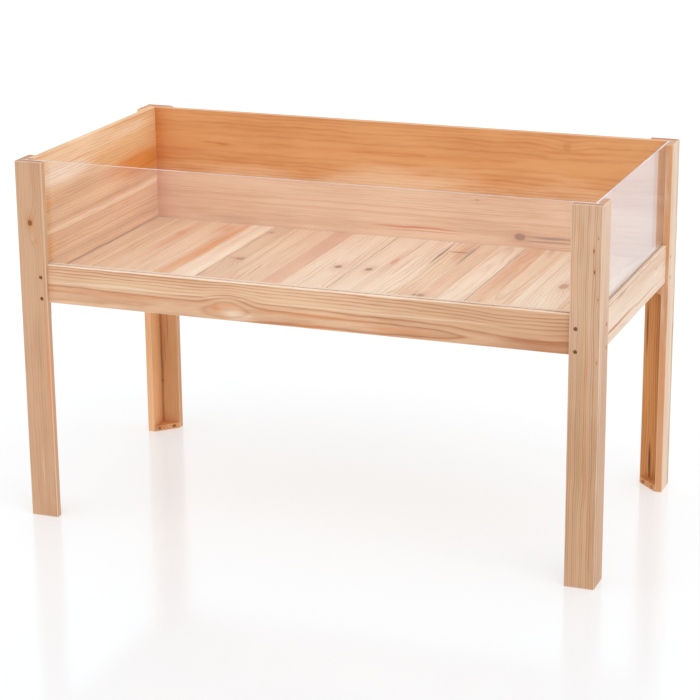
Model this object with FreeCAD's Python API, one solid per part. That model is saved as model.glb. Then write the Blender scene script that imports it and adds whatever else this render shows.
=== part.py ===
import FreeCAD, Part
import os

# Raised planter on four L-shaped legs: an open soil box with two solid wooden walls (rear and left) and two
# low rails (front and right) that each carry a clear panel, which lifts out upwards.
# Millimetres. X runs along the length, -Y is the front, +Z is up. The origin is on the ground, at the middle.

V = FreeCAD.Vector
UP = V(0, 0, 1)

# ---- driving dimensions ----
LENGTH = 1220.0
WIDTH = 628.0
HEIGHT = 762.0

BOARD = 15.0            # thickness of the boards that the legs are made of
LEG_FACE = 60.0         # width of a leg's board on the long side
LEG_DEPTH = 62.0        # width of a leg on the short side, with the edge of the other board
EASE = 1.2              # radius of the eased edges

BOX_BOTTOM = 468.0      # underside of the rails and walls
RAIL_HEIGHT = 80.0
RAIL_THICK = 22.0
RAIL_PROUD = 7.5        # how far a rail stands out in front of the leg board's inner face
WALL_THICK = 12.0

PANEL_THICK = 4.0
PANEL_PLAY = 0.3        # gap round a panel that has to slide
GROOVE_DEPTH = 6.0      # groove in the top of a rail
END_GROOVE_DEPTH = 5.0  # grooves that hold the ends of a panel

FLOOR_TOP = 508.0
FLOOR_THICK = 12.0
FLOOR_BOARDS = 4
FLOOR_GAP = 1.2
BATTEN = 20.0            # square battens that carry the floor
BEAM_WIDTH = 35.0

FOOT_BLOCK = 13.0       # thickness of the triangular block at the foot of each leg
SHELF_BLOCK = 28.0      # height of the triangular block that the box stands on
SHELF_BLOCK_LEVEL = BOX_BOTTOM - SHELF_BLOCK

SCREW_INSET = 12.7      # from the leg board's inner edge to a screw
SCREW_HEAD_R = 4.0
SCREW_SHANK_R = 1.9
SCREW_HEAD_LENGTH = 3.0
SCREW_SINK = 1.6        # how deep a head lies under the wood
SCREW_PLAY = 0.1
DRIVE_R = 1.5
DRIVE_DEPTH = 1.2
RAIL_SCREW_HEIGHTS = (BOX_BOTTOM + 9.0, BOX_BOTTOM + 54.0)
WALL_SCREW_HEIGHTS = RAIL_SCREW_HEIGHTS + (BOX_BOTTOM + 150.0, BOX_BOTTOM + 250.0)
LEG_SCREW_LENGTH = 23.0
BLOCK_SCREW_LENGTH = 19.0
BLOCK_SCREW_INSET = 10.0     # from a block's corner to the screw beside it
BATTEN_SCREW_SINK = 0.6
BLOCK_SCREW_SINK = 1.0
BATTEN_SCREW_LENGTH = 25.0

# ---- places that follow from them ----
HALF_L = LENGTH / 2
HALF_W = WIDTH / 2
IN_X = HALF_L - BOARD           # inner face of a leg's side board
IN_Y = HALF_W - BOARD           # inner face of a leg's face board
FACE_EDGE = HALF_L - LEG_FACE   # inner edge of a leg's face board
SIDE_EDGE = HALF_W - LEG_DEPTH  # inner edge of a leg's side board
RAIL_TOP = BOX_BOTTOM + RAIL_HEIGHT
TONGUE = RAIL_THICK - RAIL_PROUD
GROOVE = PANEL_THICK + 2 * PANEL_PLAY
PANEL_BOTTOM = RAIL_TOP - GROOVE_DEPTH

FRONT = -IN_Y + TONGUE          # inner face of the front rail
REAR = IN_Y - WALL_THICK        # inner face of the rear wall
LEFT = -IN_X + WALL_THICK       # inner face of the left wall
RIGHT = IN_X - TONGUE           # inner face of the right rail

CORNERS = {
    "front_left": (-1, -1),
    "front_right": (1, -1),
    "rear_left": (-1, 1),
    "rear_right": (1, 1),
}


# ---- helpers ----
def box(x, y, z):
    """A box from three (low, high) pairs, given in either order."""
    low = V(min(x), min(y), min(z))
    return Part.makeBox(max(x) - low.x, max(y) - low.y, max(z) - low.z, low)


def eased(shape, radius=EASE, along=None):
    """Rounds the straight edges, all of them or only those that run along one direction."""
    edges = []
    for edge in shape.Edges:
        run = edge.Vertexes[-1].Point - edge.Vertexes[0].Point
        if run.Length > 4 * radius and (along is None or run.normalize().cross(along).Length < 0.01):
            edges.append(edge)
    return shape.makeFillet(radius, edges)


def turned(start, direction, outline):
    """A solid of revolution from (distance along direction, radius) pairs."""
    points = [V(0, 0, outline[0][0])]
    points += [V(radius, 0, along) for along, radius in outline]
    points.append(V(0, 0, outline[-1][0]))
    profile = Part.Face(Part.makePolygon(points + points[:1]))
    solid = profile.revolve(V(0, 0, 0), UP, 360)
    solid.Placement = FreeCAD.Placement(start, FreeCAD.Rotation(UP, direction))
    return solid


class Screw:
    """A countersunk screw: start is the point on the wood that it enters, direction the way it goes in."""

    def __init__(self, start, direction, length, sink=SCREW_SINK):
        self.start = start
        self.direction = direction.normalize()
        self.length = length
        self.sink = sink

    def solid(self):
        head_end = self.sink + SCREW_HEAD_LENGTH
        tip = self.sink + self.length
        outline = [
            (self.sink, SCREW_HEAD_R),
            (self.sink + 0.4, SCREW_HEAD_R),
            (head_end, SCREW_SHANK_R),
            (tip - 3.0, SCREW_SHANK_R),
            (tip, 0.3),
        ]
        body = turned(self.start, self.direction, outline)
        drive = Part.makeCylinder(DRIVE_R, self.sink + DRIVE_DEPTH, self.start, self.direction)
        return body.cut(drive)

    def hole(self):
        """What the wood leaves free: a recess, the countersink and a bore a little longer than the screw."""
        head_end = self.sink + SCREW_HEAD_LENGTH
        outline = [
            (-8.0, SCREW_HEAD_R + SCREW_PLAY),
            (self.sink + 0.4, SCREW_HEAD_R + SCREW_PLAY),
            (head_end, SCREW_SHANK_R + SCREW_PLAY),
            (self.sink + self.length + 0.4, SCREW_SHANK_R + SCREW_PLAY),
        ]
        return turned(self.start, self.direction, outline)


# ---- screws ----
def leg_screws(corner):
    """Through one leg's two boards, into the rail or wall behind each."""
    sx, sy = CORNERS[corner]
    long_side = RAIL_SCREW_HEIGHTS if sy < 0 else WALL_SCREW_HEIGHTS
    short_side = RAIL_SCREW_HEIGHTS if sx > 0 else WALL_SCREW_HEIGHTS
    found = []
    for z in long_side:
        start = V(sx * (FACE_EDGE + SCREW_INSET), sy * HALF_W, z)
        found.append(Screw(start, V(0, -sy, 0), LEG_SCREW_LENGTH))
    for z in short_side:
        start = V(sx * HALF_L, sy * (SIDE_EDGE + SCREW_INSET), z)
        found.append(Screw(start, V(-sx, 0, 0), LEG_SCREW_LENGTH))
    return found


def block_screws(corner, level, height):
    """Two screws from a triangular block's long face, one into each board of the leg."""
    sx, sy = CORNERS[corner]
    end = BLOCK_SCREW_INSET
    middle = level + height / 2
    slope = (IN_Y - SIDE_EDGE) / (IN_X - FACE_EDGE)
    near_face = V(sx * (FACE_EDGE + end), sy * (IN_Y - end * slope), middle)
    near_side = V(sx * (IN_X - end / slope), sy * (SIDE_EDGE + end), middle)
    return [
        Screw(near_face, V(0, sy, 0), BLOCK_SCREW_LENGTH, BLOCK_SCREW_SINK),
        Screw(near_side, V(sx, 0, 0), BLOCK_SCREW_LENGTH, BLOCK_SCREW_SINK),
    ]


def spaced(low, high, count, margin):
    """count places between low and high, the outer ones a margin inside."""
    step = (high - low - 2 * margin) / (count - 1)
    return [low + margin + step * i for i in range(count)]


def batten_screws():
    """Under the floor, through the battens, into the rails and walls."""
    z = FLOOR_TOP - FLOOR_THICK - BATTEN / 2
    places = []
    for x in spaced(LEFT + BATTEN, RIGHT - BATTEN, 4, 90.0):
        places.append((V(x, FRONT + BATTEN, z), V(0, -1, 0)))
        places.append((V(x, REAR - BATTEN, z), V(0, 1, 0)))
    for y in spaced(FRONT + BATTEN, REAR - BATTEN, 2, 60.0):
        places.append((V(LEFT + BATTEN, y, z), V(-1, 0, 0)))
        places.append((V(RIGHT - BATTEN, y, z), V(1, 0, 0)))
    return [Screw(start, way, BATTEN_SCREW_LENGTH, BATTEN_SCREW_SINK) for start, way in places]


# ---- legs ----
def leg_face_board(corner):
    sx, sy = CORNERS[corner]
    return eased(box((sx * FACE_EDGE, sx * HALF_L), (sy * IN_Y, sy * HALF_W), (0, HEIGHT)))


def leg_side_board(corner):
    """Stands behind the face board. The front legs have a groove for the end of the front panel."""
    sx, sy = CORNERS[corner]
    board = eased(box((sx * IN_X, sx * HALF_L), (sy * SIDE_EDGE, sy * IN_Y), (0, HEIGHT)))
    if sy < 0:
        across = (sx * (IN_X - 1), sx * (IN_X + END_GROOVE_DEPTH))
        board = board.cut(box(across, (-IN_Y - 1, -IN_Y + GROOVE), (PANEL_BOTTOM, HEIGHT + 1)))
    return board


def corner_block(corner, level, height):
    """A triangular block between the two boards of a leg."""
    sx, sy = CORNERS[corner]
    points = [
        V(sx * IN_X, sy * IN_Y, level),
        V(sx * FACE_EDGE, sy * IN_Y, level),
        V(sx * IN_X, sy * SIDE_EDGE, level),
    ]
    face = Part.Face(Part.makePolygon(points + points[:1]))
    return face.extrude(V(0, 0, height))


# ---- rails and walls ----
def front_rail():
    """Stands proud between the legs, with a thinner tongue behind each leg's face board."""
    height = (BOX_BOTTOM, RAIL_TOP)
    body = box((-FACE_EDGE, FACE_EDGE), (-IN_Y - RAIL_PROUD, FRONT), height)
    tongues = box((-IN_X, IN_X), (-IN_Y, FRONT), height)
    rail = eased(body.fuse(tongues).removeSplitter(), along=V(1, 0, 0))
    rail = rail.cut(front_groove())
    return rail.cut(side_groove())


def right_rail():
    height = (BOX_BOTTOM, RAIL_TOP)
    body = box((RIGHT, IN_X + RAIL_PROUD), (-SIDE_EDGE, SIDE_EDGE), height)
    tongues = box((RIGHT, IN_X), (FRONT, REAR), height)
    rail = eased(body.fuse(tongues).removeSplitter(), along=V(0, 1, 0))
    return rail.cut(side_groove())


def front_groove():
    """For the lower edge of the front panel."""
    return box((-IN_X - 1, IN_X + 1), (-IN_Y, -IN_Y + GROOVE), (PANEL_BOTTOM, RAIL_TOP + 1))


def side_groove():
    """For the lower edge of the side panel. It runs on through the end of the front rail."""
    return box((IN_X - GROOVE, IN_X), (-IN_Y, REAR + 1), (PANEL_BOTTOM, RAIL_TOP + 1))


def rear_wall():
    wall = eased(box((-IN_X, IN_X), (REAR, IN_Y), (BOX_BOTTOM, HEIGHT)), along=V(1, 0, 0))
    slot = box((IN_X - GROOVE, IN_X + 1), (REAR - 1, REAR + END_GROOVE_DEPTH), (PANEL_BOTTOM, HEIGHT + 1))
    return wall.cut(slot)


def left_wall():
    return eased(box((-IN_X, LEFT), (FRONT, REAR), (BOX_BOTTOM, HEIGHT)), along=V(0, 1, 0))


# ---- clear panels ----
def front_panel():
    reach = IN_X + END_GROOVE_DEPTH - PANEL_PLAY
    low = -IN_Y + PANEL_PLAY
    panel = box((-reach, reach), (low, low + PANEL_THICK), (PANEL_BOTTOM + PANEL_PLAY, HEIGHT))
    return eased(panel, radius=0.4, along=V(1, 0, 0))


def side_panel():
    high = IN_X - PANEL_PLAY
    front_end = -IN_Y + GROOVE + PANEL_PLAY
    rear_end = REAR + END_GROOVE_DEPTH - PANEL_PLAY
    panel = box((high - PANEL_THICK, high), (front_end, rear_end), (PANEL_BOTTOM + PANEL_PLAY, HEIGHT))
    return eased(panel, radius=0.4, along=V(0, 1, 0))


# ---- floor ----
def floor_board(index):
    """Boards run from front to rear, side by side."""
    pitch = (RIGHT - LEFT) / FLOOR_BOARDS
    start = LEFT + index * pitch
    across = (start + FLOOR_GAP / 2, start + pitch - FLOOR_GAP / 2)
    ends = (FRONT + FLOOR_GAP / 2, REAR - FLOOR_GAP / 2)
    board = box(across, ends, (FLOOR_TOP - FLOOR_THICK, FLOOR_TOP))
    return eased(board, radius=0.8, along=V(0, 1, 0))


def long_batten(inner, outer):
    level = FLOOR_TOP - FLOOR_THICK
    return eased(box((LEFT, RIGHT), (inner, outer), (level - BATTEN, level)), along=V(1, 0, 0))


def short_batten(inner, outer):
    level = FLOOR_TOP - FLOOR_THICK
    return eased(box((inner, outer), (FRONT + BATTEN, REAR - BATTEN), (level - BATTEN, level)), along=V(0, 1, 0))


def floor_beam():
    """Carries the middle of the floor boards, from one short batten to the other."""
    level = FLOOR_TOP - FLOOR_THICK
    middle = (FRONT + REAR) / 2
    across = (middle - BEAM_WIDTH / 2, middle + BEAM_WIDTH / 2)
    return eased(box((LEFT + BATTEN, RIGHT - BATTEN), across, (level - BATTEN, level)), along=V(1, 0, 0))


def drilled(shape, holes):
    """Cuts the holes that reach this piece."""
    near = [hole for hole in holes if hole.BoundBox.intersect(shape.BoundBox)]
    return shape.cut(near) if near else shape


def planter():
    """Every piece of the planter by name."""
    leg_fixings = []
    block_fixings = []
    for corner in CORNERS:
        leg_fixings += leg_screws(corner)
        block_fixings += block_screws(corner, 0.0, FOOT_BLOCK)
        block_fixings += block_screws(corner, SHELF_BLOCK_LEVEL, SHELF_BLOCK)
    batten_fixings = batten_screws()
    holes = [screw.hole() for screw in leg_fixings + block_fixings + batten_fixings]

    wooden = {}
    for corner in CORNERS:
        wooden[corner + "_leg_face_board"] = leg_face_board(corner)
        wooden[corner + "_leg_side_board"] = leg_side_board(corner)
        wooden[corner + "_foot_block"] = corner_block(corner, 0.0, FOOT_BLOCK)
        wooden[corner + "_shelf_block"] = corner_block(corner, SHELF_BLOCK_LEVEL, SHELF_BLOCK)
    wooden["front_rail"] = front_rail()
    wooden["right_rail"] = right_rail()
    wooden["rear_wall"] = rear_wall()
    wooden["left_wall"] = left_wall()
    for index in range(FLOOR_BOARDS):
        wooden["floor_board_" + str(index + 1)] = floor_board(index)
    wooden["front_floor_batten"] = long_batten(FRONT, FRONT + BATTEN)
    wooden["rear_floor_batten"] = long_batten(REAR - BATTEN, REAR)
    wooden["left_floor_batten"] = short_batten(LEFT, LEFT + BATTEN)
    wooden["right_floor_batten"] = short_batten(RIGHT - BATTEN, RIGHT)
    wooden["floor_beam"] = floor_beam()

    pieces = {name: drilled(shape, holes) for name, shape in wooden.items()}
    pieces["front_clear_panel"] = front_panel()
    pieces["side_clear_panel"] = side_panel()
    pieces["leg_screws"] = Part.makeCompound([s.solid() for s in leg_fixings])
    pieces["block_screws"] = Part.makeCompound([s.solid() for s in block_fixings])
    pieces["batten_screws"] = Part.makeCompound([s.solid() for s in batten_fixings])
    return pieces


os.makedirs("parts", exist_ok=True)
for name, shape in planter().items():
    if not shape.isValid():
        raise ValueError(name + " is not a valid solid")
    shape.exportStep("parts/" + name + ".step")
    print(name, len(shape.Solids), round(shape.Volume / 1000.0, 1), "cm3")
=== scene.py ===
import math
import random
from dataclasses import dataclass

import bmesh
import bpy
from mathutils import Matrix, Vector


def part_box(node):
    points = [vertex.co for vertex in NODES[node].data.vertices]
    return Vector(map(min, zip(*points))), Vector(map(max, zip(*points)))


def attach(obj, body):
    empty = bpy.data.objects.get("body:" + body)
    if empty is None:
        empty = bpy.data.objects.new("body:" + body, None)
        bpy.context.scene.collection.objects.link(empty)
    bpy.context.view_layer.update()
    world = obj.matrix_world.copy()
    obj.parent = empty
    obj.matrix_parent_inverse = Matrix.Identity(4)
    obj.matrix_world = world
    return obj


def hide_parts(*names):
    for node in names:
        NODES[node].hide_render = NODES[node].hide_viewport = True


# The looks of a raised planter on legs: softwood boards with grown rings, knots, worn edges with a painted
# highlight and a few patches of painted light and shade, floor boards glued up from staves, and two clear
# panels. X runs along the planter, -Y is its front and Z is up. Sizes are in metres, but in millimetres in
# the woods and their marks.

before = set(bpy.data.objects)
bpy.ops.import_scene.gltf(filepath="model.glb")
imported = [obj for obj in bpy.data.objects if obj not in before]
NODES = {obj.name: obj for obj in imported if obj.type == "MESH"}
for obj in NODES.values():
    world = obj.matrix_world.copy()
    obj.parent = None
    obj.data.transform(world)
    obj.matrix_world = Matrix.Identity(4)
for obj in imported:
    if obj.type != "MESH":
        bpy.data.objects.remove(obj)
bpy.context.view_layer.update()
MM = 0.001
AXES = "xyz"


def rgb(red, green, blue):
    """A colour given as 0 to 255 display values, as the linear values that shaders take."""
    linear = []
    for value in (red, green, blue):
        share = value / 255
        linear.append(share / 12.92 if share <= 0.04045 else ((share + 0.055) / 1.055) ** 2.4)
    return (*linear, 1.0)


# ---- building shader graphs ----
class Graph:
    """A material's node tree, with short calls that add a node and return what comes out of it."""

    def __init__(self, name):
        self.material = bpy.data.materials.new(name)
        self.material.use_nodes = True
        self.tree = self.material.node_tree
        self.tree.nodes.clear()

    def feed(self, socket, value):
        if isinstance(value, bpy.types.NodeSocket):
            self.tree.links.new(value, socket)
        else:
            socket.default_value = value

    def node(self, kind, inputs, **settings):
        made = self.tree.nodes.new("ShaderNode" + kind)
        for name, value in settings.items():
            setattr(made, name, value)
        for key, value in inputs.items():
            self.feed(made.inputs[key], value)
        return made

    def math(self, operation, *values):
        return self.node("Math", dict(enumerate(values)), operation=operation).outputs[0]

    def vector(self, operation, *values):
        made = self.node("VectorMath", dict(enumerate(values)), operation=operation)
        return made.outputs["Value" if operation in ("DOT_PRODUCT", "LENGTH") else "Vector"]

    def join(self, x, y, z):
        return self.node("CombineXYZ", {0: x, 1: y, 2: z}).outputs[0]

    def split(self, vector):
        return self.node("SeparateXYZ", {0: vector}).outputs

    def span(self, value, low, high, to_low=0.0, to_high=1.0):
        """Goes smoothly from to_low at low to to_high at high."""
        values = {"Value": value, "From Min": low, "From Max": high, "To Min": to_low, "To Max": to_high}
        return self.node("MapRange", values, interpolation_type="SMOOTHSTEP").outputs[0]

    def noise(self, vector, scale=1.0, detail=2.0, roughness=0.5):
        """Noise from 0 to 1; its colour output holds three independent ones."""
        inputs = {"Vector": vector, "Scale": scale, "Detail": detail, "Roughness": roughness}
        return self.node("TexNoise", inputs, noise_dimensions="3D").outputs

    def line_noise(self, value, detail=0.0):
        inputs = {"W": value, "Scale": 1.0, "Detail": detail}
        return self.node("TexNoise", inputs, noise_dimensions="1D").outputs[0]

    def ramp(self, value, stops):
        made = self.node("ValToRGB", {0: value})
        elements = made.color_ramp.elements
        while len(elements) < len(stops):
            elements.new(0.5)
        for element, (position, level) in zip(elements, stops):
            element.position = position
            element.color = (level, level, level, 1.0)
        return made.outputs[0]

    def blend(self, factor, first, second, mode="MIX"):
        made = self.node("Mix", {0: factor, 6: first, 7: second}, data_type="RGBA", blend_type=mode)
        return made.outputs[2]

    def bell(self, place, centre, size, hardness=1.0):
        """1 at centre and 0 well outside an ellipse of that size; a high hardness gives it a flat top."""
        offset = self.vector("SUBTRACT", place, (*centre, 0.0))
        scaled = self.vector("MULTIPLY", offset, (1 / size[0], 1 / size[1], 0.0))
        squared = self.vector("DOT_PRODUCT", scaled, scaled)
        if hardness != 1.0:
            squared = self.math("POWER", squared, hardness)
        return self.math("EXPONENT", self.math("MULTIPLY", squared, -1.0))

    def finish(self, shader):
        self.node("OutputMaterial", {"Surface": shader})
        return self.material


# ---- wood ----
WIDE_MARK = 5.0         # half width from which a colour mark tints the wood under its rings, in millimetres
WOBBLE = 5.0             # how far marks and rings sway across the board, in millimetres
QUICK_WANDER = 3.2       # how much the rings ripple over short distances, in millimetres
SEED_STEP = (91.7, 37.3, 53.9)   # how far apart two seeds' stretches of noise are, in millimetres
RAISED_FIBRE = 0.5 * MM  # height of the raised fibres
EDGE_WEAR_AND_HIGHLIGHT_REACH = (1.2, 2.6)  # how far the wear and painted highlight reach from an edge, least and most, in millimetres
YEAR = ((0.0, 0.12), (0.3, 0.05), (0.66, 0.5), (0.84, 1.0), (0.97, 0.3))   # part of the year, late wood
BAND_TONE = 0.22         # how much darker a run of poor years is
KNOT_RINGS = 2.6         # rings from a knot's middle to its rim
KNOT_HALO = rgb(196, 128, 74)
KNOT_HALO_SHARE = 0.5
END_GRAIN = rgb(196, 138, 88)
END_GRAIN_SHARE = 0.55
# a pale colour along every edge: partly wear, partly a painted highlight on the rounded arrises
EDGE_WEAR_AND_HIGHLIGHT = rgb(246, 226, 200)
EDGE_WEAR_AND_HIGHLIGHT_SHARE = 0.45
SPECK_SHARE = 0.30       # how strongly the small dark specks show


@dataclass
class Knot:
    """A branch that the saw went through. Places are (along the grain, across it)."""

    place: tuple
    size: tuple            # half length and half width of the dark core
    bulge: float = 4.0     # how far the rings swing round it
    dark: float = 0.8
    colour: tuple = rgb(112, 62, 28)

    def swing_size(self):
        """Half length and half width of the place where the rings swing round it."""
        return self.size[0] * 4.5 + 6.0, self.size[1] * 2.4 + 2.0

    def halo_size(self):
        """Half length and half width of the warmer wood round it."""
        return self.size[0] * 3.2, self.size[1] * 1.9


@dataclass
class Swell:
    """A place where the rings bulge, which shows as a pointed or closed tongue of grain."""

    place: tuple
    size: tuple
    height: float


@dataclass
class ColourMark:
    """A soft streak or patch of another colour that follows the grain. Most are stains in the wood; a few are
    painted highlights and painted shade.
    """

    place: tuple
    size: tuple
    colour: tuple
    strength: float = 0.6
    hardness: float = 1.0


@dataclass
class Wood:
    """How one piece of wood grew and how it was cut."""

    along: str                      # axis of the grain
    face: str                       # axis across the board's thickness
    pale: tuple
    deep: tuple
    pith: tuple = (0.0, -40.0)      # the tree's middle: place across the board, depth from its middle plane
    lean: tuple = (0.0, 0.0)        # how much the pith drifts, across and in depth, per millimetre along
    spacing: float = 6.0            # thickness of a year ring
    wander: float = 7.0             # how much the rings wander on their way along the board
    contrast: float = 0.75
    seed: int = 0
    marks: tuple = ()


def place_in_board(g, wood, box):
    """Places in the order (along, across, depth).

    Returns a point's place in the part and from the board's middle, half the board's size, and that middle.
    """
    low, high = box
    along, depth = AXES.index(wood.along), AXES.index(wood.face)
    order = (along, 3 - along - depth, depth)
    position = g.node("TexCoord", {}).outputs["Object"]
    position = g.vector("SCALE", position)
    position.node.inputs["Scale"].default_value = 1 / MM
    parts = g.split(position)
    place = g.join(*(parts[axis] for axis in order))
    middle = [(low[axis] + high[axis]) / 2 / MM for axis in order]
    half = [(high[axis] - low[axis]) / 2 / MM for axis in order]
    return place, g.vector("SUBTRACT", place, tuple(middle)), half, middle


def grain_noise(g, place, along, across, detail, roughness=0.5):
    """Noise that is stretched along the grain. Its two scales are in changes per millimetre."""
    return g.noise(g.vector("MULTIPLY", place, (along, across, across)), detail=detail, roughness=roughness)


def wobbled(g, place):
    """The place along and across the board, swayed a little, so that marks follow the uneven grain."""
    wobble = grain_noise(g, place, along=0.012, across=0.05, detail=1.0)["Color"]
    wobble = g.vector("MULTIPLY", g.vector("SUBTRACT", wobble, (0.5, 0.5, 0.5)), (0.0, WOBBLE, 0.0))
    return g.vector("MULTIPLY", g.vector("ADD", place, wobble), (1.0, 1.0, 0.0))


def with_depth(g, marked, place):
    """The swayed place, with its true depth."""
    along, across, _ = g.split(marked)
    return g.join(along, across, g.split(place)[2])


def ring_distance(g, wood, place, middle):
    """Distance from the pith, bent by slow wandering, knots and swells.

    Also returns the place shifted by the wood's seed, which gives every piece its own stretch of the noises.
    """
    seeded = g.vector("ADD", place, tuple(wood.seed * step for step in SEED_STEP))
    slow = grain_noise(g, seeded, along=0.0028, across=0.011, detail=2.0)["Color"]
    slow = g.split(g.vector("SUBTRACT", slow, (0.5, 0.5, 0.5)))
    quick = grain_noise(g, seeded, along=0.011, across=0.07, detail=2.0)[0]
    along, across, depth = g.split(place)
    from_middle = g.math("SUBTRACT", along, middle[0])
    side = g.math("SUBTRACT", across, wood.pith[0])
    side = g.math("ADD", side, g.math("MULTIPLY", from_middle, wood.lean[0]))
    side = g.math("ADD", side, g.math("MULTIPLY", slow[0], wood.wander * 2.0))
    deep = g.math("SUBTRACT", depth, middle[2] + wood.pith[1])
    deep = g.math("ADD", deep, g.math("MULTIPLY", from_middle, wood.lean[1]))
    deep = g.math("ADD", deep, g.math("MULTIPLY", slow[1], wood.wander * 3.0))
    distance = g.vector("LENGTH", g.join(side, deep, 0.0))
    distance = g.math("ADD", distance, g.math("MULTIPLY", g.math("SUBTRACT", quick, 0.5), QUICK_WANDER))
    for mark in wood.marks:
        if isinstance(mark, Swell):
            swell = g.bell(place, mark.place, mark.size)
            distance = g.math("ADD", distance, g.math("MULTIPLY", swell, mark.height))
        if isinstance(mark, Knot):
            swing = g.bell(place, mark.place, mark.swing_size())
            distance = g.math("ADD", distance, g.math("MULTIPLY", swing, mark.bulge))
    return distance, seeded


def wood_material(name, wood, box):
    """Year rings round a pith, fibres, slow changes of tone, knots, darker end grain, and worn edges with a
    painted highlight.
    """
    g = Graph(name)
    place, local, half, middle = place_in_board(g, wood, box)
    marked = wobbled(g, place)
    distance, seeded = ring_distance(g, wood, with_depth(g, marked, place), middle)
    year = g.math("DIVIDE", distance, wood.spacing)
    late = late_wood(g, year)
    drift = grain_noise(g, seeded, along=0.0035, across=0.022, detail=3.0, roughness=0.55)[0]
    fibre = grain_noise(g, seeded, along=0.02, across=1.1, detail=3.0, roughness=0.65)[0]

    colour = ring_colour(g, wood, marked, year, late, fibre, drift)
    speck = grain_noise(g, seeded, along=0.10, across=2.2, detail=1.0)[0]
    colour = g.blend(g.span(speck, 0.66, 0.80, 0.0, SPECK_SHARE), colour, wood.deep)
    for mark in colour_marks(wood, wide=False):
        colour = g.blend(colour_mark_strength(g, mark, marked, fibre, drift), colour, mark.colour)
    for mark in wood.marks:
        if isinstance(mark, Knot):
            colour = knot_colour(g, mark, marked, colour)

    normal = g.node("TexCoord", {}).outputs["Normal"]
    facing = g.split(normal)[AXES.index(wood.along)]
    end = g.span(g.math("ABSOLUTE", facing), 0.75, 0.95)
    colour = g.blend(g.math("MULTIPLY", end, END_GRAIN_SHARE), colour, END_GRAIN, "MULTIPLY")
    # the edges made paler: partly wear, partly a painted highlight
    wear_and_highlight = worn_and_highlit_edges(g, local, half, fibre)
    colour = g.blend(g.math("MULTIPLY", wear_and_highlight, EDGE_WEAR_AND_HIGHLIGHT_SHARE), colour, EDGE_WEAR_AND_HIGHLIGHT)
    return finish_wood(g, colour, late, fibre)


def late_wood(g, year):
    """How much of the dark late wood is at each point: it builds up slowly in a year and ends sharply."""
    late = g.ramp(g.math("FRACT", year), YEAR)
    vigour = g.span(g.line_noise(g.math("MULTIPLY", year, 0.61)), 0.25, 0.75, 0.35, 1.0)
    return g.math("MULTIPLY", late, vigour)


def ring_colour(g, wood, marked, year, late, fibre, drift):
    """Early and late wood in the wood's own two colours, which wide colour marks tint."""
    bands = g.span(g.line_noise(g.math("MULTIPLY", year, 0.23), detail=1.0), 0.32, 0.68)
    tone = g.math("MULTIPLY", late, wood.contrast)
    tone = g.math("ADD", tone, g.math("MULTIPLY", bands, BAND_TONE))
    tone = g.math("ADD", tone, g.span(drift, 0.3, 0.7, -0.16, 0.22))
    tone = g.math("ADD", tone, g.span(fibre, 0.3, 0.7, -0.10, 0.12))
    pale, deep = wood.pale, wood.deep
    for mark in colour_marks(wood, wide=True):
        patch = colour_mark_strength(g, mark, marked, fibre, drift)
        pale = g.blend(patch, pale, mark.colour)
        deep = g.blend(patch, deep, as_late_wood(wood, mark.colour))
    return g.blend(g.span(tone, -0.1, 1.1), pale, deep)


def finish_wood(g, colour, late, fibre):
    """A planed surface: raised fibres, and late wood that lies a little lower and shines a little more."""
    relief = g.math("MULTIPLY", late, -0.35)
    relief = g.math("ADD", relief, g.math("MULTIPLY", fibre, 0.9))
    bump = g.node("Bump", {"Strength": 0.35, "Distance": RAISED_FIBRE, "Height": relief}).outputs[0]
    roughness = g.math("ADD", g.span(fibre, 0.3, 0.7, 0.50, 0.62), g.math("MULTIPLY", late, -0.07))
    shader = g.node("BsdfPrincipled", {"Base Color": colour, "Roughness": roughness, "Normal": bump,
                                       "Specular IOR Level": 0.45})
    return g.finish(shader.outputs[0])


def colour_marks(wood, wide):
    """The wood's wide colour marks, or else its narrow ones, which lie on top of the rings."""
    return [mark for mark in wood.marks if isinstance(mark, ColourMark) and (mark.size[1] >= WIDE_MARK) == wide]


def colour_mark_strength(g, mark, marked, fibre, drift):
    """How strong a colour mark is at each point. Its ends are ragged, as some fibres have drawn it further.
    """
    drawn = g.math("MULTIPLY", g.math("SUBTRACT", fibre, 0.5), mark.size[0] * 1.1)
    swayed = g.math("MULTIPLY", g.math("SUBTRACT", drift, 0.5), mark.size[1] * 1.3)
    patch = g.bell(g.vector("ADD", marked, g.join(drawn, swayed, 0.0)), mark.place, mark.size, mark.hardness)
    return g.math("MULTIPLY", patch, g.span(fibre, 0.25, 0.7, mark.strength, mark.strength * 0.75))


def as_late_wood(wood, colour):
    """The colour that late wood has where a colour mark gives the early wood this one."""
    mixed = [stained * deep / pale for stained, deep, pale in zip(colour[:3], wood.deep, wood.pale)]
    return (*mixed, 1.0)


def knot_colour(g, knot, place, colour):
    """A brown core with its own tight rings, and a warm halo that reaches further along the grain."""
    halo = g.bell(place, knot.place, knot.halo_size())
    colour = g.blend(g.math("MULTIPLY", halo, KNOT_HALO_SHARE * knot.dark), colour, KNOT_HALO)
    offset = g.vector("SUBTRACT", place, (*knot.place, 0.0))
    scaled = g.vector("MULTIPLY", offset, (1 / knot.size[0], 1 / knot.size[1], 0.0))
    out = g.vector("LENGTH", scaled)
    core = g.span(out, 1.25, 0.8)
    rings = g.math("FRACT", g.math("MULTIPLY", out, KNOT_RINGS))
    shade = g.span(rings, 0.0, 1.0, knot.dark * 0.65, knot.dark)
    return g.blend(g.math("MULTIPLY", core, shade), colour, knot.colour)


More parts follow.
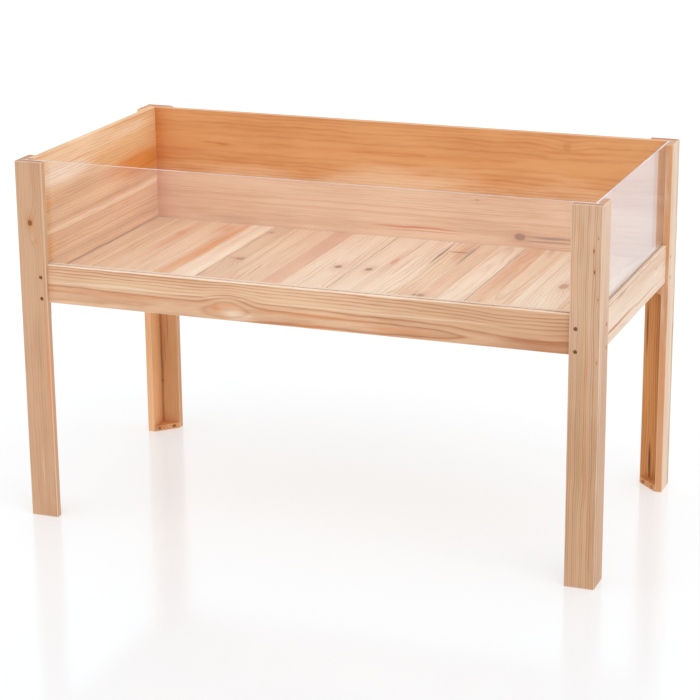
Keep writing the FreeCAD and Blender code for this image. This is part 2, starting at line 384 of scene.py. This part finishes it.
def worn_and_highlit_edges(g, local, half, fibre):
    """Near 1 along the board's edges, unevenly, going by the second nearest of its three pairs of faces. It
    marks wear and a painted highlight.
    """
    gaps = g.split(g.vector("SUBTRACT", tuple(half), g.vector("ABSOLUTE", local)))
    lowest = g.math("MINIMUM", gaps[0], gaps[1])
    highest = g.math("MAXIMUM", gaps[0], gaps[1])
    second = g.math("MINIMUM", g.math("MAXIMUM", lowest, gaps[2]), highest)
    reach = g.span(fibre, 0.3, 0.7, *EDGE_WEAR_AND_HIGHLIGHT_REACH)
    return g.span(g.math("DIVIDE", second, reach), 1.0, 0.2)


# ---- the clear panels and the screws ----
ACRYLIC_SHINE = 0.04          # share of light that one face mirrors when it is seen squarely
ACRYLIC_CLEAR = (0.99, 0.99, 0.99, 1.0)
ACRYLIC_TINT = rgb(246, 250, 255)
SAWN_EDGE = (rgb(192, 184, 190), rgb(226, 218, 220))
HAZE_HEIGHTS = (0.54, 0.74)   # the haze thins out from the lower of these heights to the upper one
HAZE_GAIN = (1.6, 0.8)             # how many times thicker the haze is at each of them
SCREW_PITS = 0.2 * MM         # depth of the small pits in the screw heads


def acrylic_material(name, face):
    """Clear sheet, with bright edges where it was sawn."""
    g = Graph(name)
    coordinates = g.node("TexCoord", {}).outputs
    place = coordinates["Object"]
    smear = g.noise(place, scale=5.0, detail=3.0)[0]
    sheet = polished_sheet(g, smear, g.split(place)[2])
    sawn_colour = g.blend(g.span(smear, 0.35, 0.65), *SAWN_EDGE)
    sawn = g.node("BsdfPrincipled", {"Base Color": sawn_colour, "Roughness": 0.35}).outputs[0]
    facing = g.math("ABSOLUTE", g.split(coordinates["Normal"])[AXES.index(face)])
    shader = g.node("MixShader", {0: g.span(facing, 0.9, 0.7), 1: sheet, 2: sawn}).outputs[0]
    return g.finish(shader)


def polished_sheet(g, smear, height):
    """See-through, with more mirror towards grazing angles and a faint haze, thickest towards the bottom."""
    grazing = g.node("LayerWeight", {"Blend": 0.5}).outputs["Facing"]
    through = g.node("BsdfTransparent", {"Color": ACRYLIC_CLEAR}).outputs[0]
    milk = g.node("BsdfTranslucent", {"Color": ACRYLIC_TINT}).outputs[0]
    film = g.node("BsdfDiffuse", {"Color": ACRYLIC_TINT}).outputs[0]
    haze = g.node("MixShader", {0: 0.5, 1: milk, 2: film}).outputs[0]
    amount = g.math("MULTIPLY", g.span(grazing, 0.0, 1.0, 0.022, 0.045), g.span(smear, 0.3, 0.7, 0.85, 1.15))
    amount = g.math("MULTIPLY", amount, g.span(height, *HAZE_HEIGHTS, *HAZE_GAIN))
    sheet = g.node("MixShader", {0: amount, 1: through, 2: haze}).outputs[0]
    polish = g.span(smear, 0.3, 0.7, 0.01, 0.03)
    mirror = g.node("BsdfGlossy", {"Color": ACRYLIC_TINT, "Roughness": polish}).outputs[0]
    shine = g.math("MULTIPLY_ADD", g.math("POWER", grazing, 5.0), 1 - ACRYLIC_SHINE, ACRYLIC_SHINE)
    return g.node("MixShader", {0: shine, 1: sheet, 2: mirror}).outputs[0]


BRASSY = (rgb(116, 74, 34), rgb(158, 108, 54))
SCREW_COLOURS = {
    "leg_screws": BRASSY,
    "batten_screws": BRASSY,
    "block_screws": (rgb(160, 108, 62), rgb(198, 146, 94)),
}


def screw_material(name, dark, pale):
    """Brown-plated steel, duller and darker in blotches."""
    g = Graph(name)
    place = g.node("TexCoord", {}).outputs["Object"]
    blotch = g.noise(place, scale=600.0, detail=3.0)[0]
    fine = g.noise(place, scale=2500.0, detail=2.0)[0]
    colour = g.blend(g.span(blotch, 0.35, 0.65), dark, pale)
    roughness = g.span(fine, 0.3, 0.7, 0.35, 0.6)
    bump = g.node("Bump", {"Strength": 0.2, "Distance": SCREW_PITS, "Height": fine}).outputs[0]
    shader = g.node("BsdfPrincipled", {"Base Color": colour, "Roughness": roughness, "Normal": bump,
                                       "Metallic": 0.15})
    return g.finish(shader.outputs[0])


# ---- each board's own wood ----
RAIL_PALE = rgb(230, 192, 156)
RAIL_DEEP = rgb(186, 122, 80)
WALL_PALE = rgb(228, 168, 112)
WALL_DEEP = rgb(194, 116, 58)
LEG_PALE = rgb(212, 173, 140)
LEG_DEEP = rgb(178, 128, 90)
ORANGE = rgb(222, 134, 72)
CREAM = rgb(240, 214, 184)
BROWN = rgb(128, 76, 40)

FRONT_RAIL = Wood(
    along="x", face="y", pale=RAIL_PALE, deep=RAIL_DEEP, pith=(484.0, 24.0), lean=(0.0, -0.008), spacing=5.4,
    wander=2.0, contrast=0.85, seed=3,
    marks=(
        Swell((-150.0, 506.0), (46.0, 30.0), -9.0),
        Swell((205.0, 483.0), (120.0, 9.0), -4.0),
        Swell((450.0, 524.0), (130.0, 40.0), 7.0),
        ColourMark((-176.0, 491.0), (14.0, 7.0), ORANGE, 0.7),
        ColourMark((-150.0, 500.0), (26.0, 3.5), ORANGE, 0.5),
        ColourMark((-128.0, 481.0), (30.0, 9.0), rgb(250, 228, 204), 1.0, 2.0),
        ColourMark((36.0, 474.0), (40.0, 2.6), rgb(210, 128, 66), 0.7, 2.0),
        ColourMark((215.0, 482.0), (85.0, 5.5), ORANGE, 0.6, 2.0),
        ColourMark((40.0, 494.0), (130.0, 4.5), ORANGE, 0.45, 2.0),
        ColourMark((-410.0, 497.0), (180.0, 5.0), ORANGE, 0.35, 2.0),
        ColourMark((-400.0, 513.0), (220.0, 2.4), CREAM, 0.8, 2.0),
        ColourMark((430.0, 508.0), (260.0, 80.0), rgb(206, 158, 118), 0.75, 2.0),
        # painted highlight: a near-white line along the rail's top face, for the light falling on it from
        # above
        ColourMark((0.0, 549.0), (1500.0, 2.6), rgb(250, 228, 206), 0.9, 2.0),
        ColourMark((150.0, 512.0), (260.0, 2.0), CREAM, 0.6, 2.0),
    ),
)
RIGHT_RAIL = Wood(
    along="y", face="x", pale=rgb(238, 214, 192), deep=rgb(204, 156, 118), pith=(440.0, -60.0),
    lean=(0.03, 0.0), spacing=6.0, wander=8.0, contrast=0.35, seed=8,
    marks=(
        ColourMark((-150.0, 490.5), (130.0, 3.0), rgb(184, 112, 44), 1.0, 2.0),
        ColourMark((60.0, 487.0), (130.0, 1.8), rgb(204, 142, 84), 0.85, 2.0),
        ColourMark((-40.0, 545.4), (300.0, 0.9), rgb(150, 88, 40), 0.8, 2.0),
        ColourMark((165.0, 520.0), (10.0, 2.6), rgb(176, 128, 92), 0.6),
        ColourMark((170.0, 512.0), (34.0, 9.0), rgb(250, 228, 208), 0.6),
        ColourMark((-125.0, 542.0), (30.0, 2.4), rgb(170, 104, 54), 0.8),
        ColourMark((60.0, 532.0), (90.0, 3.0), rgb(226, 182, 146), 0.5),
    ),
)
REAR_WALL = Wood(
    along="x", face="y", pale=WALL_PALE, deep=WALL_DEEP, pith=(693.0, 95.0), spacing=3.7, wander=1.6,
    contrast=0.4, seed=5,
    marks=(
        ColourMark((0.0, 545.0), (1500.0, 100.0), rgb(240, 206, 172), 1.0, 3.0),
        Swell((-20.0, 693.0), (200.0, 9.0), -6.0),
        Swell((-450.0, 690.0), (110.0, 10.0), -5.0),
        ColourMark((-20.0, 693.0), (190.0, 7.0), rgb(222, 146, 84), 0.45, 3.0),
        ColourMark((230.0, 693.5), (36.0, 4.0), rgb(212, 132, 72), 0.5, 2.0),
        ColourMark((-415.0, 689.0), (18.0, 4.0), rgb(190, 104, 50), 0.5),
        ColourMark((-510.0, 668.0), (70.0, 9.0), rgb(206, 120, 58), 0.45),
        Knot((375.0, 735.0), (9.0, 8.0), 4.0, 0.25, rgb(176, 98, 48)),
        ColourMark((395.0, 722.0), (80.0, 3.0), rgb(204, 120, 62), 0.4, 2.0),
        Knot((178.0, 605.0), (3.0, 2.0), 2.0, 0.4),
        ColourMark((0.0, 560.0), (560.0, 3.0), rgb(206, 120, 66), 0.3, 2.0),
        ColourMark((-60.0, 575.0), (420.0, 2.0), rgb(206, 120, 66), 0.3, 2.0),
        Swell((100.0, 529.0), (120.0, 9.0), 9.0),
        ColourMark((40.0, 533.0), (95.0, 2.6), rgb(212, 112, 48), 1.0, 2.0),
        ColourMark((60.0, 526.0), (90.0, 1.4), rgb(206, 112, 66), 0.7, 2.0),
        Knot((275.0, 531.0), (12.0, 7.5), 9.0, 0.9, rgb(150, 92, 58)),
        ColourMark((345.0, 533.0), (50.0, 3.4), rgb(126, 92, 80), 0.75, 2.0),
        ColourMark((340.0, 524.0), (60.0, 2.0), rgb(140, 98, 76), 0.7, 2.0),
        ColourMark((-400.0, 520.0), (70.0, 8.0), rgb(168, 112, 74), 0.35),
        # painted shade: the wall's left end, in the inner corner, coloured deep orange for the shade and the
        # warm light thrown back there
        ColourMark((-600.0, 640.0), (40.0, 400.0), rgb(200, 106, 14), 0.8),
    ),
)
LEFT_WALL = Wood(
    along="y", face="x", pale=rgb(238, 196, 148), deep=rgb(204, 142, 88), pith=(420.0, -70.0), spacing=6.2,
    wander=8.0, contrast=0.55, seed=9,
    marks=(
        ColourMark((-60.0, 738.0), (330.0, 24.0), rgb(255, 234, 206), 0.7, 2.0),
        ColourMark((170.0, 742.0), (70.0, 9.0), rgb(255, 240, 222), 0.6, 2.0),
        ColourMark((-160.0, 705.0), (130.0, 20.0), rgb(255, 238, 220), 1.0, 2.0),
        ColourMark((200.0, 652.0), (170.0, 28.0), rgb(226, 144, 58), 0.95, 2.0),
        ColourMark((-110.0, 655.0), (170.0, 20.0), rgb(216, 160, 106), 0.55, 2.0),
        ColourMark((0.0, 596.0), (600.0, 7.0), rgb(255, 232, 204), 0.8, 2.0),
        ColourMark((0.0, 610.0), (600.0, 1.6), rgb(190, 134, 92), 0.5, 2.0),
        ColourMark((-90.0, 724.0), (60.0, 2.4), ORANGE, 0.6),
        ColourMark((-240.0, 655.0), (60.0, 5.0), rgb(240, 170, 80), 0.8),
        ColourMark((-245.0, 565.0), (50.0, 16.0), rgb(244, 178, 90), 0.7),
        ColourMark((0.0, 570.0), (420.0, 2.0), rgb(200, 144, 104), 0.5, 2.0),
        ColourMark((30.0, 552.0), (460.0, 2.0), rgb(200, 144, 104), 0.5, 2.0),
        ColourMark((0.0, 532.0), (500.0, 9.0), rgb(204, 158, 122), 0.45, 2.0),
        ColourMark((0.0, 511.0), (700.0, 1.8), BROWN, 0.65, 2.0),
    ),
)
WARM = dict(pale=rgb(228, 166, 112), deep=rgb(184, 112, 60))
SAP = dict(pale=rgb(232, 206, 182), deep=rgb(206, 166, 132), contrast=0.3)
LEG_BOARDS = {
    "front_left_leg_face_board": dict(pith=(-640.0, -60.0), contrast=0.5, pale=rgb(208, 166, 132), marks=(
        ColourMark((636.0, -581.0), (11.0, 8.0), rgb(214, 132, 58), 0.9, 2.0),
        Knot((635.0, -581.0), (6.0, 5.0), 9.0, 1.0, rgb(116, 64, 20)),
        Swell((612.0, -577.0), (16.0, 8.0), 15.0),
        ColourMark((612.0, -577.0), (22.0, 9.0), rgb(196, 142, 96), 0.6, 3.0),
        ColourMark((613.0, -577.0), (18.0, 6.5), rgb(214, 174, 138), 0.9, 3.0),
        ColourMark((598.0, -567.0), (8.0, 4.0), ORANGE, 0.6),
        ColourMark((310.0, -554.0), (140.0, 3.0), ORANGE, 0.7),
        ColourMark((110.0, -578.0), (40.0, 1.0), CREAM, 0.6),
    )),
    "front_right_leg_face_board": dict(pith=(680.0, -30.0), contrast=0.8, spacing=3.9,
                                       pale=rgb(216, 180, 150), marks=(
        Knot((675.0, 595.0), (4.0, 1.4), 1.0, 0.9),
        Knot((635.0, 596.5), (4.0, 1.4), 1.0, 0.9),
        Knot((700.0, 603.0), (2.5, 1.2), 1.0, 0.6),
        Knot((582.0, 604.0), (2.5, 1.2), 1.0, 0.6),
        Knot((460.0, 604.0), (2.5, 1.2), 1.0, 0.6),
        ColourMark((380.0, 577.0), (300.0, 2.0), rgb(184, 152, 92), 0.6, 2.0),
        ColourMark((330.0, 585.0), (300.0, 1.4), ORANGE, 0.45, 2.0),
        ColourMark((640.0, 560.0), (100.0, 2.0), rgb(226, 160, 110), 0.45, 2.0),
        ColourMark((130.0, 580.0), (380.0, 90.0), rgb(200, 158, 120), 0.8, 2.0),
        ColourMark((730.0, 580.0), (60.0, 90.0), rgb(224, 190, 160), 0.6, 2.0),
        # painted highlight: the board's right-hand edge, brightened by the key light and a grazing sheen,
        # made paler
        ColourMark((610.0, 610.5), (300.0, 1.8), rgb(234, 208, 184), 0.55, 2.0),
    )),
    "front_right_leg_side_board": dict(pale=rgb(226, 192, 164), deep=rgb(202, 156, 120), contrast=0.3, marks=(
        ColourMark((140.0, -280.0), (430.0, 120.0), rgb(194, 148, 112), 0.85, 2.0),
    )),
    "rear_right_leg_side_board": dict(**SAP, marks=(
        # painted shade: the board's front edge, which lies in shade, coloured a deeper orange
        ColourMark((381.0, 247.5), (900.0, 6.5), rgb(212, 144, 86), 1.0, 4.0),
    )),
    "rear_left_leg_face_board": dict(pith=(-640.0, 30.0), contrast=0.5, pale=rgb(222, 168, 118),
                                     deep=rgb(190, 126, 78), marks=(
        ColourMark((120.0, -592.0), (200.0, 2.2), BROWN, 0.65, 2.0),
        ColourMark((245.0, -576.0), (34.0, 1.6), BROWN, 0.7),
        ColourMark((195.0, -583.0), (40.0, 1.6), BROWN, 0.6),
        ColourMark((200.0, -589.0), (80.0, 1.3), BROWN, 0.5, 2.0),
        Knot((112.0, -592.0), (3.0, 3.0), 3.0, 0.7),
    )),
    "rear_left_leg_side_board": dict(pale=rgb(248, 192, 140), deep=rgb(214, 150, 98)),
    "rear_right_leg_face_board": dict(pith=(500.0, 30.0), contrast=0.8, pale=rgb(220, 154, 90),
                                      deep=rgb(172, 102, 44), marks=(
        # painted highlight: the board's right-hand edge, lit from the right, made paler than its shaded face
        ColourMark((381.0, 613.0), (900.0, 9.0), rgb(230, 206, 184), 1.0, 4.0),
        ColourMark((350.0, 558.0), (60.0, 2.0), rgb(100, 52, 22), 0.85, 2.0),
        ColourMark((50.0, 571.0), (44.0, 2.4), rgb(74, 34, 12), 1.0, 2.0),
    )),
}


def leg_board(name, seed):
    """A leg's board, with the grain upright. LEG_BOARDS has the last word on how it grew."""
    low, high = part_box(name)
    flat = "y" if "face" in name else "x"
    across = 0 if flat == "y" else 1
    middle = (low[across] + high[across]) / 2 / MM
    dice = random.Random(seed)
    pith = (middle + dice.choice((-1, 1)) * dice.uniform(20, 60), dice.choice((-1, 1)) * dice.uniform(25, 60))
    own = dict(pale=LEG_PALE, deep=LEG_DEEP, pith=pith, spacing=4.6, contrast=0.5)
    own.update(LEG_BOARDS.get(name, {}))
    return Wood(along="z", face=flat, seed=seed, **own)


def small_block(name, seed):
    """A triangular block, with the grain running the same way as the planter's length."""
    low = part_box(name)[0]
    return Wood(along="x", face="z", **WARM, pith=(low[1] / MM - 30.0, -25.0), spacing=4.5, seed=seed)


def batten(name, seed):
    """A batten or beam under the floor, with the grain along it."""
    low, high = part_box(name)
    runs_along_x = high[0] - low[0] > high[1] - low[1]
    across = 1 if runs_along_x else 0
    return Wood(along="x" if runs_along_x else "y", face="z", pale=RAIL_PALE, deep=RAIL_DEEP,
                pith=(low[across] / MM - 20.0, -30.0), spacing=4.5, seed=seed)


def dress(name, wood):
    """Gives a CAD node its own cut of wood."""
    give(NODES[name], wood_material(name + "_wood", wood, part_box(name)))


def give(piece, material):
    piece.data.materials.clear()
    piece.data.materials.append(material)


# ---- the floor: each board is glued up from staves ----
STAVES = 6
STAVE_WIDTH = 47.0 * MM      # the last stave of a board takes what is left
GLUE_LINE = 0.25 * MM
STAVE_EASE = 0.35 * MM
BOARD_EASE = 0.8 * MM
JOINT_DIRT = 1.3             # how far dirt creeps from a joint between two boards, in millimetres

TONES = {
    "plain": (rgb(240, 206, 170), rgb(210, 158, 116)),
    "dusky": (rgb(230, 194, 156), rgb(200, 150, 110)),
    "pale": (rgb(246, 222, 194), rgb(220, 176, 138)),
    "pink": (rgb(228, 178, 142), rgb(204, 148, 112)),
    "tan": (rgb(236, 194, 154), rgb(210, 156, 112)),
    # painted reflected light: a warmer tone for staves beside the orange left wall, as light thrown back from
    # it would warm them
    "warm_bounce": (rgb(236, 200, 158), rgb(206, 156, 112)),
}
STAVE_TONES = (
    # the first two staves lie beside the left wall and take the tone with painted reflected light
    ("warm_bounce", "warm_bounce", "plain", "plain", "plain", "pale"),
    ("dusky", "plain", "plain", "pink", "pale", "pale"),
    ("pale", "pale", "pale", "plain", "plain", "pale"),
    ("tan", "plain", "pale", "pale", "plain", "pale"),
)
# marks are placed by (Y along the stave, X across it)
FLOOR_MARKS = (
    ColourMark((130.0, -467.0), (150.0, 8.0), rgb(232, 158, 82), 0.8),
    ColourMark((170.0, -473.0), (25.0, 9.0), rgb(228, 142, 66), 0.7),
    ColourMark((235.0, -392.0), (36.0, 22.0), rgb(230, 150, 74), 0.75),
    ColourMark((90.0, -356.0), (200.0, 10.0), rgb(232, 148, 54), 0.95, 2.0),
    ColourMark((-20.0, -370.0), (260.0, 14.0), rgb(238, 168, 90), 0.75, 2.0),
    ColourMark((-120.0, -372.0), (90.0, 16.0), rgb(238, 176, 112), 0.6),
    ColourMark((-60.0, -440.0), (130.0, 5.0), rgb(222, 160, 110), 0.6),
    ColourMark((40.0, -512.0), (150.0, 2.0), rgb(206, 136, 92), 0.7),
    ColourMark((0.0, -306.0), (500.0, 7.0), rgb(255, 236, 206), 0.8, 2.0),
    ColourMark((0.0, -325.0), (500.0, 2.0), rgb(232, 176, 126), 0.5, 2.0),
    Knot((5.0, -258.0), (7.0, 10.0), 8.0, 0.85, rgb(142, 98, 66)),
    ColourMark((10.0, -280.0), (5.0, 9.0), rgb(150, 104, 76), 0.6),
    Knot((235.0, -283.0), (6.0, 4.0), 5.0, 0.7),
    ColourMark((60.0, -195.0), (260.0, 1.6), rgb(196, 138, 104), 0.7, 2.0),
    ColourMark((-20.0, -228.0), (200.0, 1.8), rgb(202, 146, 112), 0.6, 2.0),
    Knot((12.0, -38.0), (9.5, 8.0), 7.0, 1.0, rgb(140, 74, 30)),
    Knot((12.0, 30.0), (9.5, 7.5), 7.0, 1.0, rgb(148, 80, 34)),
    Knot((90.0, 60.0), (26.0, 5.5), 6.0, 0.8, rgb(216, 134, 66)),
    Swell((120.0, 84.0), (130.0, 12.0), -9.0),
    ColourMark((200.0, 68.0), (80.0, 1.6), rgb(186, 118, 78), 0.8, 2.0),
    ColourMark((60.0, 88.0), (75.0, 1.6), rgb(196, 130, 88), 0.75, 2.0),
    ColourMark((190.0, 133.0), (90.0, 3.4), rgb(128, 78, 44), 0.95, 2.0),
    ColourMark((120.0, 143.0), (60.0, 3.0), rgb(176, 148, 126), 0.7),
    ColourMark((195.0, 188.5), (95.0, 3.2), rgb(100, 50, 24), 1.0, 2.0),
    ColourMark((200.0, 175.0), (80.0, 14.0), rgb(206, 140, 92), 0.6, 2.0),
    ColourMark((205.0, 165.0), (6.0, 24.0), rgb(176, 104, 50), 0.95, 2.0),
    Knot((-140.0, 192.0), (8.0, 13.0), 5.0, 0.8, rgb(150, 86, 48)),
    ColourMark((70.0, 336.0), (140.0, 3.0), rgb(222, 132, 70), 0.8, 2.0),
    ColourMark((150.0, 312.0), (220.0, 16.0), rgb(220, 140, 78), 0.6),
    ColourMark((-20.0, 368.0), (200.0, 1.8), rgb(208, 150, 108), 0.6, 2.0),
    ColourMark((80.0, 404.0), (160.0, 1.8), rgb(204, 146, 106), 0.6, 2.0),
    Knot((15.0, 448.0), (18.0, 9.0), 5.0, 0.8, rgb(170, 104, 58)),
    ColourMark((-60.0, 202.0), (120.0, 12.0), rgb(226, 162, 126), 0.6),
    ColourMark((140.0, 240.0), (200.0, 5.0), rgb(232, 180, 136), 0.5, 2.0),
)


def stave_edges(low, high):
    """Where a board's staves start and end along X."""
    starts = [low[0] + index * STAVE_WIDTH for index in range(STAVES)]
    return list(zip(starts, starts[1:] + [high[0]]))


def unique(items):
    """Each of the items once, in the order in which they come, so that every run makes the same mesh."""
    return list(dict.fromkeys(items))


def add_stave(mesh, low, high, slot, outer_left, outer_right):
    """One stave with eased edges: finely at the glue lines and more where the board ends."""
    made = bmesh.ops.create_cube(mesh, size=1.0)["verts"]
    size = high - low
    for vertex in made:
        vertex.co = Vector(low[i] + (vertex.co[i] + 0.5) * size[i] for i in range(3))
    faces = unique(face for vertex in made for face in vertex.link_faces)
    for face in faces:
        face.material_index = slot
        face.smooth = False
    wide, fine = [], []
    for edge in unique(edge for face in faces for edge in face.edges):
        middle = (edge.verts[0].co + edge.verts[1].co) / 2
        runs_along = abs(edge.verts[0].co.y - edge.verts[1].co.y) > size.y / 2
        at_left = outer_left and abs(middle.x - low.x) < STAVE_EASE
        at_right = outer_right and abs(middle.x - high.x) < STAVE_EASE
        if runs_along and (at_left or at_right):
            wide.append(edge)
        else:
            fine.append(edge)
    if wide:
        bmesh.ops.bevel(mesh, geom=wide, offset=BOARD_EASE, segments=3, affect="EDGES", profile=0.5)
    bmesh.ops.bevel(mesh, geom=[edge for edge in fine if edge.is_valid], offset=STAVE_EASE, segments=2,
                    affect="EDGES", profile=0.5)


def new_object(name, mesh, materials):
    """Puts a bmesh and its materials into the scene as an object, and frees the bmesh."""
    data = bpy.data.meshes.new(name)
    for material in materials:
        data.materials.append(material)
    mesh.to_mesh(data)
    mesh.free()
    made = bpy.data.objects.new(name, data)
    bpy.context.scene.collection.objects.link(made)
    return made


def floor_board(index):
    """A glued-up floor board in place of the plain one."""
    node_name = f"floor_board_{index + 1}"
    low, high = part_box(node_name)
    mesh = bmesh.new()
    materials = []
    for slot, (start, end) in enumerate(stave_edges(low, high)):
        first, last = slot == 0, slot == STAVES - 1
        stave_low = Vector((start + (0 if first else GLUE_LINE / 2), low[1], low[2]))
        stave_high = Vector((end - (0 if last else GLUE_LINE / 2), high[1], high[2]))
        add_stave(mesh, stave_low, stave_high, slot, first, last)
        wood = stave_wood(index, slot, start / MM, end / MM)
        materials.append(wood_material(f"{node_name}_stave_{slot + 1}", wood, (stave_low, stave_high)))
    board = new_object(node_name + "_staves", mesh, materials)
    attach(board, "frame")
    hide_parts(node_name)


def stave_wood(board, slot, start, end):
    """A stave's own cut, the marks that lie on it, and dirt where it borders on the next board."""
    dice = random.Random(100 * board + slot)
    pale, deep = TONES[STAVE_TONES[board][slot]]
    marks = tuple(mark for mark in FLOOR_MARKS if start - mark.size[1] < mark.place[1] < end + mark.size[1])
    if slot == 0:
        marks += (joint_dirt(start),)
    if slot == STAVES - 1:
        marks += (joint_dirt(end),)
    pith = ((start + end) / 2 + dice.uniform(-55, 55), -dice.uniform(12, 60))
    return Wood(along="y", face="z", pale=pale, deep=deep, pith=pith, spacing=dice.uniform(4.2, 6.5),
                lean=(dice.uniform(-0.03, 0.03), dice.uniform(-0.02, 0.02)), wander=6.0,
                contrast=dice.uniform(0.6, 0.9), seed=20 + 7 * board + slot, marks=marks)


def joint_dirt(across):
    """A dark line along a whole board's joint."""
    return ColourMark((0.0, across), (700.0, JOINT_DIRT), BROWN, 0.85, 2.0)


# ---- the studio ----
WHITE = (1.0, 1.0, 1.0, 1.0)
WORLD_STRENGTH = 0.99
KEY_AZIMUTH = 48.0
KEY_ELEVATION = 42.0
KEY_STRENGTH = 0.62
KEY_SPREAD = 50.0      # how wide the light is as seen from the planter, in degrees
FLOOR_RADIUS = 30.0
FLOOR_GREYS = ((0.46, 0.48, 0.50, 1.0), (0.47, 0.49, 0.51, 1.0))
FLOOR_GLOW = 0.43      # the floor is a lit table, so that shadows on it stay light


def studio_floor():
    """A wide pale floor with a faint gloss."""
    mesh = bmesh.new()
    bmesh.ops.create_circle(mesh, cap_ends=True, segments=96, radius=FLOOR_RADIUS)
    ground = new_object("studio_floor", mesh, [floor_material()])


def floor_material():
    """Pale grey, lit a little from within, with gloss enough to mirror the legs softly."""
    g = Graph("studio_floor")
    place = g.node("TexCoord", {}).outputs["Object"]
    mottle = g.noise(place, scale=1.5, detail=2.0)[0]
    colour = g.blend(g.span(mottle, 0.3, 0.7), *FLOOR_GREYS)
    roughness = g.span(mottle, 0.3, 0.7, 0.12, 0.16)
    shader = g.node("BsdfPrincipled", {"Base Color": colour, "Roughness": roughness, "IOR": 1.5,
                                       "Emission Color": WHITE, "Emission Strength": FLOOR_GLOW})
    return g.finish(shader.outputs[0])


def soft_sun(name, azimuth, elevation, strength, spread):
    """A wide, even light. Its azimuth is counted from the front to the right. Angles are in degrees."""
    turn, lift = math.radians(azimuth), math.radians(elevation)
    towards = Vector((math.sin(turn) * math.cos(lift), -math.cos(turn) * math.cos(lift), math.sin(lift)))
    light = bpy.data.lights.new(name, "SUN")
    light.energy = strength
    light.angle = math.radians(spread)
    sun = bpy.data.objects.new(name, light)
    sun.rotation_mode = "QUATERNION"
    sun.rotation_quaternion = towards.to_track_quat("Z", "Y")
    bpy.context.scene.collection.objects.link(sun)


def studio_light():
    """Light from all around, and a wide key light from the front right."""
    world = bpy.data.worlds.new("studio")
    world.use_nodes = True
    background = world.node_tree.nodes["Background"]
    background.inputs["Color"].default_value = WHITE
    background.inputs["Strength"].default_value = WORLD_STRENGTH
    bpy.context.scene.world = world
    soft_sun("key", KEY_AZIMUTH, KEY_ELEVATION, KEY_STRENGTH, KEY_SPREAD)
    view = bpy.context.scene.view_settings
    view.view_transform = "Standard"
    view.look = "None"


# ---- the camera ----
CAMERA_PLACE = Vector((1.6208, -4.2765, 1.7413))
CAMERA_YAW = math.radians(20.86)        # turned to the left of straight ahead
CAMERA_PITCH = math.radians(17.116)     # looking down
CAMERA_ROLL = math.radians(-0.499)
CAMERA_LENS = 117.03
CAMERA_SENSOR = 36.0
CAMERA_REACH = 200.0


def studio_camera():
    """Looks at the planter from the right of its front and from above."""
    flat_right = Vector((math.cos(CAMERA_YAW), math.sin(CAMERA_YAW), 0.0))
    flat_ahead = Vector((-math.sin(CAMERA_YAW), math.cos(CAMERA_YAW), 0.0))
    ahead = math.cos(CAMERA_PITCH) * flat_ahead - math.sin(CAMERA_PITCH) * Vector((0.0, 0.0, 1.0))
    upward = flat_right.cross(ahead)
    right = math.cos(CAMERA_ROLL) * flat_right + math.sin(CAMERA_ROLL) * upward
    up = math.cos(CAMERA_ROLL) * upward - math.sin(CAMERA_ROLL) * flat_right
    data = bpy.data.cameras.new("camera")
    data.sensor_width = CAMERA_SENSOR
    data.lens = CAMERA_LENS
    data.clip_end = CAMERA_REACH
    camera = bpy.data.objects.new("camera", data)
    camera.matrix_world = Matrix.Translation(CAMERA_PLACE) @ Matrix((right, up, -ahead)).transposed().to_4x4()
    bpy.context.scene.collection.objects.link(camera)
    bpy.context.scene.camera = camera


# ---- putting it together ----
def main():
    dress("front_rail", FRONT_RAIL)
    dress("right_rail", RIGHT_RAIL)
    dress("rear_wall", REAR_WALL)
    dress("left_wall", LEFT_WALL)
    for seed, name in enumerate(sorted(NODES)):
        if "_leg_" in name:
            dress(name, leg_board(name, 40 + seed))
        elif name.endswith("_block"):
            dress(name, small_block(name, 40 + seed))
        elif name.endswith("_batten") or name == "floor_beam":
            dress(name, batten(name, 40 + seed))
        elif name.endswith("_screws"):
            give(NODES[name], screw_material(name + "_steel", *SCREW_COLOURS[name]))
    give(NODES["front_clear_panel"], acrylic_material("front_clear_panel", "y"))
    give(NODES["side_clear_panel"], acrylic_material("side_clear_panel", "x"))
    for index in range(len(STAVE_TONES)):
        floor_board(index)
    studio_floor()
    studio_light()
    studio_camera()


main()
